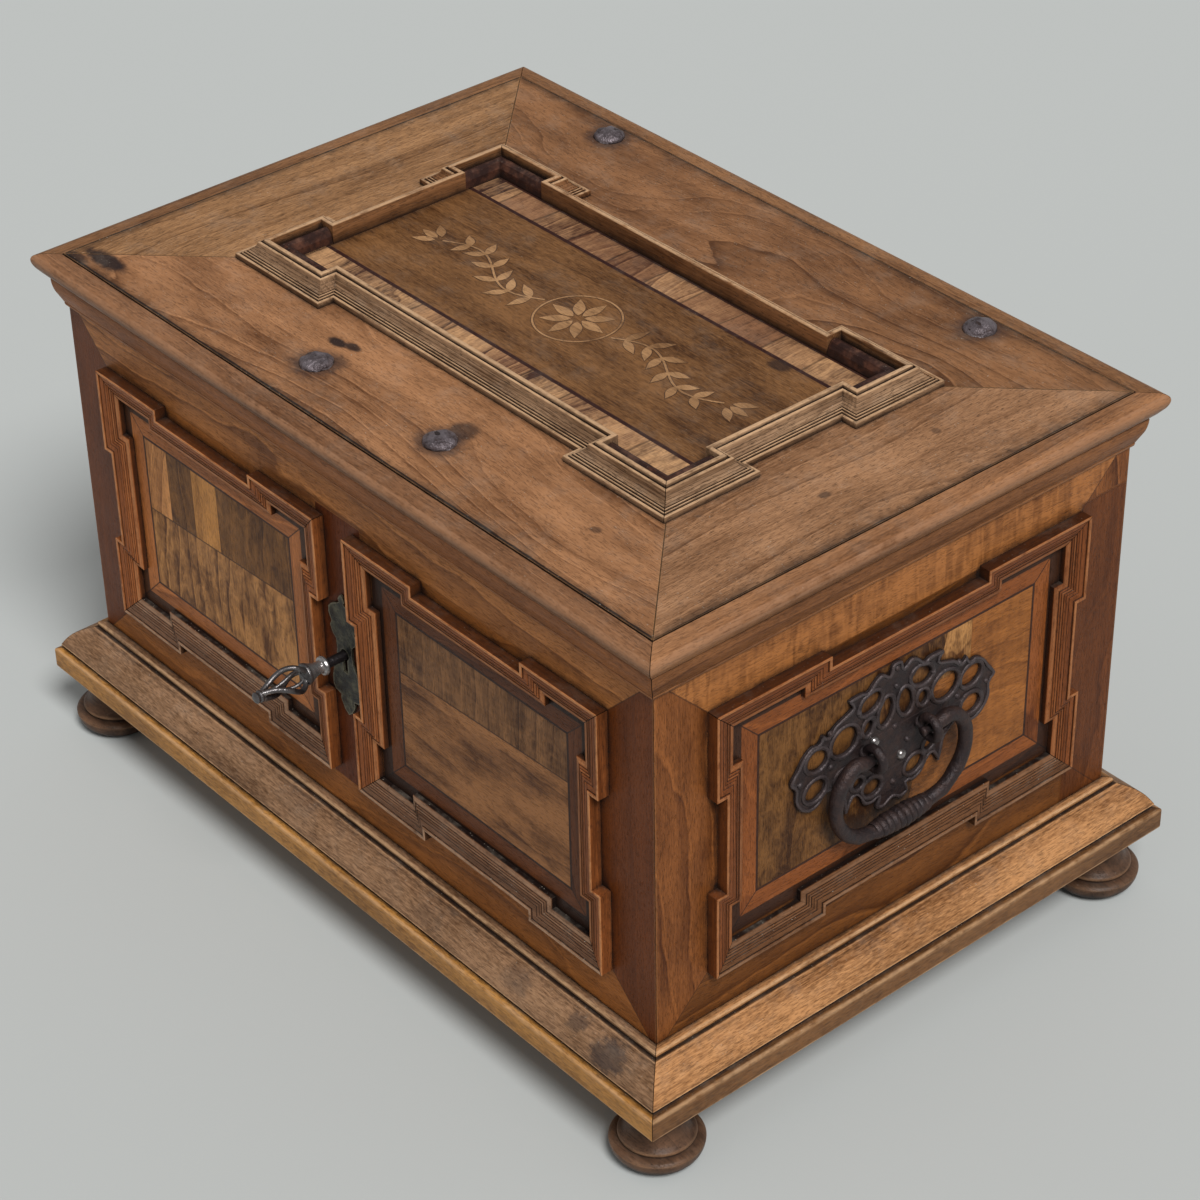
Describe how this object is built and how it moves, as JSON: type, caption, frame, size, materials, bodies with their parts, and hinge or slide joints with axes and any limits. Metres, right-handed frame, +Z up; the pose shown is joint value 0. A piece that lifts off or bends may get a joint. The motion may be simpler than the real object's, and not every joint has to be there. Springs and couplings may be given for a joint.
{
  "type": "marriage box",
  "caption": "Low rectangular walnut casket with a hinged lid, key-turned sliding bolt lock, swinging iron side handles, moulded plinth and bun feet.",
  "frame": {"origin": "middle of the bounding box's footprint, at the soles of the feet", "axes": "+X to the box's own right seen from the front, along its length; +Y from the front (keyhole) to the back (hinges); +Z up"},
  "size_m": [0.529, 0.4014, 0.3233],
  "materials": {
    "walnut": "worn wax polish, figured veneer",
    "walnut_lid": "dry, sun-faded polish",
    "walnut_moulding": "worn ridges, dark grooves",
    "walnut_plinth": "worn polish with ink stains",
    "walnut_dark": "dark satin polish",
    "softwood": "bare, dry",
    "iron": "dark wrought iron, brown patina",
    "steel": "dark, worn bright on the edges"
  },
  "bodies": {
    "carcass": {"front_board": "walnut", "right_board": "walnut", "back_board": "walnut", "left_board": "walnut", "bottom_board": "softwood", "plinth_front": "walnut_plinth", "plinth_right": "walnut_plinth", "plinth_back": "walnut_plinth", "plinth_left": "walnut_plinth", "foot_front_left": "walnut_dark", "foot_front_right": "walnut_dark", "foot_back_right": "walnut_dark", "foot_back_left": "walnut_dark", "front_left_frame_bottom": "walnut_moulding", "front_left_frame_right": "walnut_moulding", "front_left_frame_top": "walnut_moulding", "front_left_frame_left": "walnut_moulding", "front_right_frame_bottom": "walnut_moulding", "front_right_frame_right": "walnut_moulding", "front_right_frame_top": "walnut_moulding", "front_right_frame_left": "walnut_moulding", "right_side_frame_bottom": "walnut_moulding", "right_side_frame_back": "walnut_moulding", "right_side_frame_top": "walnut_moulding", "right_side_frame_front": "walnut_moulding", "left_side_frame_bottom": "walnut_moulding", "left_side_frame_back": "walnut_moulding", "left_side_frame_top": "walnut_moulding", "left_side_frame_front": "walnut_moulding", "escutcheon": "iron", "lock_case": "iron", "hinge_leaf_left": "iron", "hinge_leaf_right": "iron", "handle_plate_left": "iron", "handle_plate_right": "iron", "bail_eye_left_front": "iron", "bail_eye_left_back": "iron", "bail_eye_right_front": "iron", "bail_eye_right_back": "iron"},
    "lid": {"lid_board_front": "walnut_lid", "lid_board_right": "walnut_lid", "lid_board_back": "walnut_lid", "lid_board_left": "walnut_lid", "lid_edge_front": "walnut_lid", "lid_edge_right": "walnut_lid", "lid_edge_back": "walnut_lid", "lid_edge_left": "walnut_lid", "lid_moulding_front": "walnut_moulding", "lid_moulding_right": "walnut_moulding", "lid_moulding_back": "walnut_moulding", "lid_moulding_left": "walnut_moulding", "lid_panel": "walnut_dark", "lock_keeper": "iron", "hinge_strap_left": "iron", "hinge_strap_right": "iron"},
    "key": {"key": "steel"},
    "lock_bolt": {"lock_bolt": "iron"},
    "bail_right": {"bail_right": "iron"},
    "bail_left": {"bail_left": "iron"}
  },
  "joints": [
    {"name": "lid_hinge", "type": "hinge", "parent": "carcass", "child": "lid", "pos_m": [0, 0.18035, 0.2913], "axis": [-1, 0, 0], "range_deg": [0, 105]},
    {"name": "key_turn", "type": "hinge", "parent": "carcass", "child": "key", "pos_m": [0, -0.14175, 0.1754], "axis": [0, 1, 0], "range_deg": [0, 360]},
    {"name": "bolt_slide", "type": "slide", "parent": "carcass", "child": "lock_bolt", "axis": [1, 0, 0], "range_m": [0, 0.012]},
    {"name": "bail_right_swing", "type": "hinge", "parent": "carcass", "child": "bail_right", "pos_m": [0.25, 0.01125, 0.1819], "axis": [0, -1, 0], "range_deg": [0, 175]},
    {"name": "bail_left_swing", "type": "hinge", "parent": "carcass", "child": "bail_left", "pos_m": [-0.25, 0.01125, 0.1819], "axis": [0, 1, 0], "range_deg": [0, 175]}
  ],
  "couplings": [
    {"joint": "key_turn", "follows": "bolt_slide", "rad_per_m": 523.6}
  ]
}
